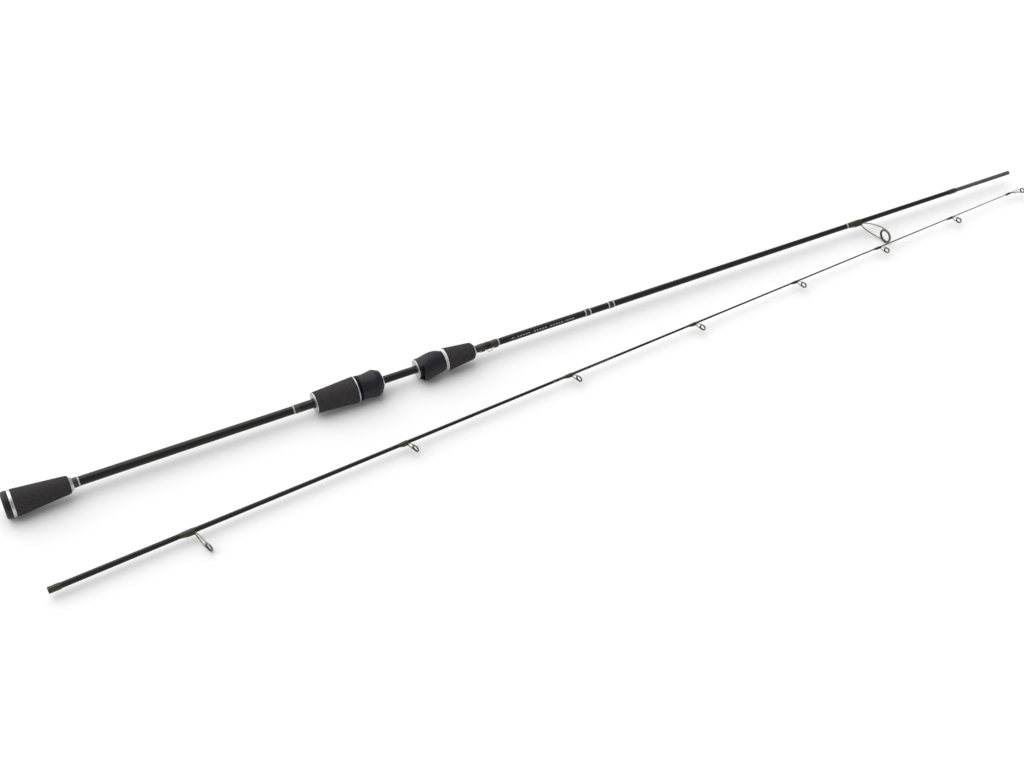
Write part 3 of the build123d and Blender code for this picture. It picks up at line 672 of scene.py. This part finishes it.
def make_blanks():
    """Both blanks as open tubes with many rings, so the weave and the ends are real surfaces."""
    spigot = MOUNTS["ferrule_spigot"]["dims"]
    radius = spigot["r_mm"]
    start, spigot_end = BUTT_OUTLINE[0][0], BUTT_OUTLINE[-1][0]
    shoulder = spigot_end - spigot["length_mm"] - 0.4
    outer = []
    for row in range(BLANK_ROWS + 1):
        x = start + (shoulder - start) * row / BLANK_ROWS
        outer.append((x, blank_radius(BUTT, min(x, shoulder))))
    corners = [(shoulder, radius), (spigot_end, radius), (spigot_end, radius - BLANK_WALL)]
    ground = eased(corners, 0.4, closed=False)
    inner = [(spigot_end - 6, radius - BLANK_WALL - 0.02), (start, outer[0][1] - BLANK_WALL)]
    mesh = lathe_mesh("butt_blank_tube", [*outer, *ground, *inner], 72)
    looks, bands = [CARBON, GROUND], (shoulder - 0.01,)
    fitted("butt_blank_tube", mesh, BUTT, looks, "butt_blank", None, bands)
    socket = MOUNTS["ferrule_socket"]["dims"]
    radius, depth = socket["r_mm"], socket["length_mm"]
    end = TIP_OUTLINE[-1][0]
    outer = []
    for row in range(BLANK_ROWS * 2 + 1):
        x = end * row / (BLANK_ROWS * 2)
        outer.append((x, blank_radius(TIP, x)))
    bore = [(depth, 0.0), (depth, radius - 0.5), (depth, radius)]
    mouth = [(0.15, radius + 0.02), (0.0, radius + 0.12), (0.0, outer[0][1] - 0.12)]
    rim = (0.15, outer[0][1])
    core = [(end - 0.02, outer[-1][1] * 0.8), (end, 0.0)]
    mesh = lathe_mesh("tip_blank_tube", [*bore, *mouth, rim, *outer[1:-1], *core], 60)
    fitted("tip_blank_tube", mesh, TIP, [CARBON], "tip_blank")


def make_butt_cap():
    """The moulded cap: a crowned rim round a shallow dished recess."""
    end, radius = BUTT.outline("butt_cap")[-1]
    corners = [
        (CAP_RECESS_DEPTH, 0.0),
        (CAP_RECESS_DEPTH - 0.3, CAP_RECESS_RADIUS - 1.6),
        (0.0, CAP_RECESS_RADIUS),
        (0.0, radius - 1.3),
        (1.5, radius),
        (end, radius),
        (end, 0.0),
    ]
    mesh = lathe_mesh("butt_cap_moulding", eased(corners, 0.8, closed=False), 128)
    fitted("butt_cap_moulding", mesh, BUTT, [SOFT_TOUCH], "butt_cap")


def knurl(x, angle):
    """Two crossing sets of fine grooves."""
    turns = 26
    lean = 2.2
    one = abs(math.sin(turns * angle + lean * x))
    other = abs(math.sin(turns * angle - lean * x))
    return -KNURL_DEPTH * (1 - min(one, other)) ** 2


def make_metal_rings():
    """The turned rings and discs, and the knurled ring of the nut."""
    rings = (
        ("butt_cap_ring_turned", "butt_cap_ring", SILVER, 0.25, None),
        ("butt_grip_check_turned", "butt_grip_check", SILVER, 0.25, None),
        ("rear_hood_ring_turned", "rear_hood_ring", SILVER, 0.25, None),
        ("seat_grip_ring_turned", "seat_grip_ring", SILVER, 0.3, None),
        ("seat_grip_disc", "seat_grip_check", PALE_SILVER, 0.3, None),
        ("front_hood_disc", "front_hood_collar", PALE_SILVER, 0.3, "front_hood"),
        ("foregrip_check_turned", "foregrip_check", SILVER, 0.3, "lock_nut"),
    )
    for name, node, look, edge, body in rings:
        annulus(name, node, look, edge, body)
    annulus("nut_ring_knurled", "nut_ring", SILVER, 0, "lock_nut", 440, knurl, 12)


def make_windings():
    """The windings that hold no guide. The one behind the seat grip ends in a raised black ring."""
    winding("butt_grip_winding", BUTT, "butt_grip_wrap", OLIVE_THREAD)
    winding("keeper_rear_winding", BUTT, "keeper_rear_wrap", OLIVE_THREAD, foot=0.7)
    winding("keeper_middle_winding", BUTT, "keeper_middle_wrap", BLACK_THREAD)
    winding("keeper_front_winding", BUTT, "keeper_front_wrap", OLIVE_THREAD, foot=0.7)
    winding("butt_ferrule_winding", BUTT, "butt_ferrule_wrap", OLIVE_THREAD, lift=0.05)
    seat = BUTT.outline("seat_rear_wrap")
    start, end = seat[0][0], seat[-1][0]
    color_change = start + SEAT_THREAD_LENGTH
    radius = blank_radius(BUTT, start) + VARNISH
    points = [
        (start, radius - 0.4),
        (start, radius - 0.2),
        (start + 0.5, radius),
        (color_change, radius),
        (end - 1.2, radius - 0.02),
        (end - 1.1, radius + 0.4),
        (end - 0.9, radius + 0.62),
        (end - 0.2, radius + 0.62),
        (end, radius + 0.45),
        (end, radius - 0.4),
    ]
    mesh = lathe_mesh("seat_rear_winding", points, 72)
    looks, bands = [OLIVE_THREAD, BLACK_THREAD], (color_change,)
    fitted("seat_rear_winding", mesh, BUTT, looks, "seat_rear_wrap", None, bands)
    ferrule = TIP.outline("tip_ferrule_wrap")
    start, end = ferrule[0][0], ferrule[-1][0]
    radius = max(out for _, out in ferrule)
    corners = [
        (start, radius - 0.3),
        (start, radius),
        (end - 1.2, radius),
        (end, radius - 0.34),
        (end, radius - 0.5),
    ]
    mesh = lathe_mesh("tip_ferrule_winding", eased(corners, 0.25), 72)
    fitted("tip_ferrule_winding", mesh, TIP, [OLIVE_THREAD], "tip_ferrule_wrap")


def make_trims():
    """Every silver trim and olive band: each group is one piece of separate rings.

    Stations no more than the group's widest ring apart belong to the same ring.
    """
    groups = (
        ("silver_trims", "silver_thread_trims", SILVER_THREAD, "silver_thread", 0.36, 2.0),
        ("olive_bands", "thread_bands", OLIVE_THREAD, "dark_thread", 0.32, 6.0),
    )
    for name, node, look, slot, proud, widest in groups:
        stations = [x for x, _ in BUTT.outline(node)]
        starts = [x for i, x in enumerate(stations) if i == 0 or x - stations[i - 1] > widest]
        joined = bmesh.new()
        for start in starts:
            end = max(x for x in stations if x - start < widest)
            rear, front = blank_radius(BUTT, start), blank_radius(BUTT, end)
            corners = [
                (start, rear - 0.1),
                (start, rear + proud),
                (end, front + proud),
                (end, front - 0.1),
            ]
            joined.from_mesh(lathe_mesh(name, eased(corners, 0.3), 72))
        mesh = bpy.data.meshes.new(name)
        joined.to_mesh(mesh)
        joined.free()
        fitted(name, mesh, BUTT, [look], node)


def make_hood(name, node, body):
    """A moulded hood: the CAD solid remeshed and relaxed, so that its edges are soft."""
    mesh = NODES[node].data.copy()
    mesh.name = name
    mesh.materials.clear()
    mesh.transform(BUTT.inverse)
    piece = bpy.data.objects.new(name, mesh)
    bpy.context.scene.collection.objects.link(piece)
    remesh = piece.modifiers.new("remesh", "REMESH")
    remesh.mode = "VOXEL"
    remesh.voxel_size = HOOD_VOXEL * MM
    relax = piece.modifiers.new("relax", "SMOOTH")
    relax.factor = 0.5
    relax.iterations = 5
    bpy.context.view_layer.update()
    smooth = piece.evaluated_get(bpy.context.evaluated_depsgraph_get())
    mesh = bpy.data.meshes.new_from_object(smooth)
    bpy.data.objects.remove(piece)
    fitted(name, mesh, BUTT, [SOFT_TOUCH], node, body)


# ---- Line guides ----


def ring_frame(where, mount):
    """A line ring's frame in its section: x along the ring's hole, y away from the rod."""
    centre = where.local(MOUNTS[mount]["pos_m"])
    along = where.turned(MOUNTS[mount]["axis"]).normalized()
    along *= math.copysign(1, along.x)
    side = Vector((0, 0, 1))
    away = side.cross(along).normalized()
    matrix = Matrix((along, away, side)).transposed().to_4x4()
    matrix.translation = centre
    return matrix


def hoop_sizes(mount):
    """Inner radius of the insert, its outer radius and the hoop's outer radius, as CAD has them."""
    inner = MOUNTS[mount]["dims"]["r_mm"]
    diameter = (inner + 0.65) / 0.4
    return inner, diameter / 2 - 0.35 - 0.03 * diameter, diameter / 2


def make_ring(name, where, mount, node):
    """A polished ring insert with a round inner lip."""
    inner, seat, _ = hoop_sizes(mount)
    half = (seat - inner) * 0.62 + 0.25
    points = []
    for step in range(17):
        t = math.pi * step / 16
        points.append((-half * math.cos(t), seat - (seat - inner) * math.sin(t) ** 0.8))
    points += [(half * 0.9, seat + 0.05), (-half * 0.9, seat + 0.05)]
    mesh = lathe_mesh(name, points, 72, None, ring_frame(where, mount))
    fitted(name, mesh, where, [CERAMIC], node)


def hoop_mesh(name, where, mount, width):
    """The metal hoop round a ring insert."""
    _, seat, outer = hoop_sizes(mount)
    corners = [(-width / 2, seat), (-width / 2, outer), (width / 2, outer), (width / 2, seat)]
    points = eased(corners, (outer - seat) * 0.6)
    return lathe_mesh(name, points, 72, None, ring_frame(where, mount))


def hoop_point(where, mount, degrees):
    """A point on the hoop's middle circle, by its angle round from the rod's side."""
    _, seat, outer = hoop_sizes(mount)
    angle = math.radians(degrees)
    radius = (seat + outer) / 2
    local = Vector((0, -radius * math.cos(angle), radius * math.sin(angle)))
    return ring_frame(where, mount) @ local


def make_guide(number, where, wire):
    """A single-foot guide: a flat foot, two bowed legs and a hoop, merged into one frame."""
    name = f"guide_{number}"
    mount = f"line_ring_{number}"
    node = f"{name}_frame"
    wrap_end = where.outline(f"{name}_wrap")[-1][0]
    foot_start = where.outline(node)[0][0]
    base = blank_radius(where, foot_start)
    foot_y = base + wire
    meshes = [hoop_mesh(name, where, mount, wire * 2.4)]
    away = ring_frame(where, mount).col[1].to_3d()
    reach = (hoop_point(where, mount, GUIDE_LEG_ANGLE) - Vector((wrap_end, foot_y, 0))).length
    for side in (-1, 1):
        start = Vector((wrap_end - wire * 3, foot_y, side * wire * 0.9))
        end = hoop_point(where, mount, side * GUIDE_LEG_ANGLE)
        bow = Vector((wire * 2 + reach * 0.1, reach * 0.16, side * reach * 0.2))
        rise = end - away * reach * 0.34 * 0.4
        rise += Vector((-reach * 0.13, -reach * 0.18, side * reach * 0.06))
        meshes.append(tube_mesh(name, bezier(start, start + bow, rise, end), wire))
    foot_length = wrap_end + 0.3 - foot_start
    foot = [Vector((foot_start + foot_length * t / 8, base + wire * 0.95, 0)) for t in range(9)]
    foot_mesh = tube_mesh(name, foot, lambda t: wire * (0.35 + 0.65 * min(1, t * 4)) * 1.05)
    for vertex in foot_mesh.vertices:
        vertex.co.z *= 1.9
    meshes.append(foot_mesh)
    mesh = merged(f"{name}_wire", meshes)
    mesh.materials.clear()
    fitted(f"{name}_wire", mesh, where, [WIRE], node)
    make_ring(f"{name}_insert", where, mount, f"{name}_ring")
    winding(f"{name}_winding", where, f"{name}_wrap", OLIVE_THREAD, foot=wire * 2)


def make_tip_top():
    """The tip-top: a tube, two wires to the hoop's near side and a brace to its far side."""
    mount = "tip_top_line_ring"
    tube_start = TIP.outline("tip_top_frame")[0][0]
    tube_end = TIP_OUTLINE[-1][0] + 2.0
    tube = [
        (tube_start, 0.0),
        (tube_start, TIP_TOP_TUBE_RADIUS),
        (tube_end - 0.3, TIP_TOP_TUBE_RADIUS),
        (tube_end, TIP_TOP_TUBE_RADIUS * 0.6),
        (tube_end, 0.0),
    ]
    meshes = [hoop_mesh("tip_top", TIP, mount, TIP_TOP_WIRE * 3), lathe_mesh("tip_top", tube, 32)]
    for side in (-1, 1):
        start = Vector((tube_end - 1.0, 0.0, side * 0.35))
        end = hoop_point(TIP, mount, side * TIP_TOP_LEG_ANGLE)
        lead = start + Vector((4.0, 0.0, side * 0.8))
        path = bezier(start, lead, end - Vector((4.0, 0.3, 0)), end)
        meshes.append(tube_mesh("tip_top", path, TIP_TOP_WIRE))
    start = Vector((tube_end - 1.0, 0.35, 0.0))
    end = hoop_point(TIP, mount, 180)
    path = bezier(start, start + Vector((2.5, 1.2, 0)), end - Vector((4.5, 0.4, 0)), end)
    meshes.append(tube_mesh("tip_top", path, TIP_TOP_WIRE))
    mesh = merged("tip_top_wire", meshes)
    mesh.materials.clear()
    fitted("tip_top_wire", mesh, TIP, [WIRE], "tip_top_frame")
    make_ring("tip_top_insert", TIP, mount, "tip_top_ring")
    outline = TIP.outline("tip_top_wrap")
    start, end = outline[0][0], outline[-1][0]
    points = [
        (start, 0.3),
        (start, 0.5),
        (start + 1.3, 0.98),
        (start + 2.2, 1.04),
        (end - 0.7, 1.04),
        (end - 0.1, 0.86),
        (end, 0.7),
    ]
    mesh = lathe_mesh("tip_top_winding", points, 48)
    fitted("tip_top_winding", mesh, TIP, [BLACK_THREAD], "tip_top_wrap")


def make_keeper():
    """The hook keeper: one wire that rises out of its windings and bridges the middle one."""
    outline = BUTT.outline("hook_keeper")
    start, end = outline[0][0], outline[-1][0]
    low = blank_radius(BUTT, start) + KEEPER_WIRE
    high = low + KEEPER_HEIGHT
    climb = ((-1.0, low), (0.4, low), (0.1, high), (1.6, high))
    up = [Vector((KEEPER_RISE + x, y, 0)) for x, y in climb]
    down = [Vector((KEEPER_FALL - x, y, 0)) for x, y in reversed(climb)]
    path = [Vector((start, low, 0)), Vector((KEEPER_RISE - 1.2, low, 0))]
    path += bezier(*up, 10) + bezier(*down, 10)
    path += [Vector((KEEPER_FALL + 1.2, low, 0)), Vector((end, low, 0))]
    mesh = tube_mesh("hook_keeper_wire", path, KEEPER_WIRE)
    fitted("hook_keeper_wire", mesh, BUTT, [SILVER], "hook_keeper")


def paint_kept_nodes():
    """Materials for the CAD nodes that stay: hidden seat parts and the alignment dot."""
    kept = {
        "rear_seat_arbor": POLYMER,
        "front_seat_arbor": POLYMER,
        "thread_barrel": POLYMER,
        "lock_nut": POLYMER,
        "alignment_dot": DOT,
    }
    for node, look in kept.items():
        mesh = NODES[node].data
        mesh.materials.clear()
        mesh.materials.append(look)


# ---- Studio ----


def make_studio():
    """A plain pale floor, an even white sky and one wide soft lamp."""
    mesh = bpy.data.meshes.new("studio_floor")
    z = CAD_BOX[0].z - FLOOR_GAP
    corners = [(x * FLOOR_HALF, y * FLOOR_HALF, z) for x, y in ((-1, -1), (1, -1), (1, 1), (-1, 1))]
    mesh.from_pydata(corners, [], [(0, 1, 2, 3)])
    mesh.materials.append(floor_look())
    floor = bpy.data.objects.new("studio_floor", mesh)
    bpy.context.scene.collection.objects.link(floor)
    world = bpy.data.worlds.new("studio")
    bpy.context.scene.world = world
    world.use_nodes = True
    background = world.node_tree.nodes["Background"]
    background.inputs["Color"].default_value = (1.0, 1.0, 1.0, 1)
    background.inputs["Strength"].default_value = SKY_STRENGTH
    lamp = bpy.data.lights.new("overhead_softbox", "SUN")
    lamp.energy = SUN_STRENGTH
    lamp.angle = SUN_SPREAD
    light = bpy.data.objects.new("overhead_softbox", lamp)
    light.rotation_mode = "QUATERNION"
    light.rotation_quaternion = Vector(SUN_FROM).to_track_quat("Z", "Y")
    bpy.context.scene.collection.objects.link(light)


def make_camera():
    """The camera stands beside the butt cap and looks down and along the rod."""
    camera = bpy.data.objects.new("camera", bpy.data.cameras.new("camera"))
    bpy.context.scene.collection.objects.link(camera)
    camera.data.lens = LENS
    camera.data.sensor_width = 36.0
    camera.data.clip_start = 0.05
    camera.data.clip_end = 50
    cap = BUTT.matrix.translation
    place = Vector((cap.x, cap.y, CAD_BOX[0].z)) + Vector(CAMERA_FROM_CAP)
    back = Vector(
        (
            -math.sin(HEADING) * math.cos(ELEVATION),
            -math.cos(HEADING) * math.cos(ELEVATION),
            math.sin(ELEVATION),
        )
    )
    level = Vector((0, 0, 1)).cross(back).normalized()
    right = level * math.cos(ROLL) + back.cross(level) * math.sin(ROLL)
    axes = Matrix((right, back.cross(right), back)).transposed()
    camera.matrix_world = Matrix.LocRotScale(place, axes, None)
    bpy.context.scene.camera = camera
    bpy.context.scene.view_settings.view_transform = "Standard"


make_studio()
make_camera()
make_blanks()
make_butt_cap()
make_metal_rings()
make_windings()
make_trims()
foam_grip("butt_grip_foam", "butt_grip", None, 0.925, 1.0)
foam_grip("seat_grip_foam", "seat_grip", None, 0.98, 0.3)
foam_grip("foregrip_foam", "foregrip", "lock_nut", 0.88, 1.0)
make_hood("rear_hood_moulding", "rear_hood", None)
make_hood("front_hood_moulding", "front_hood", "front_hood")
make_keeper()
for guide_number, guide_wire in enumerate(GUIDE_WIRES, start=1):
    make_guide(guide_number, BUTT if guide_number == 1 else TIP, guide_wire)
make_tip_top()
paint_kept_nodes()

bpy.context.view_layer.update()
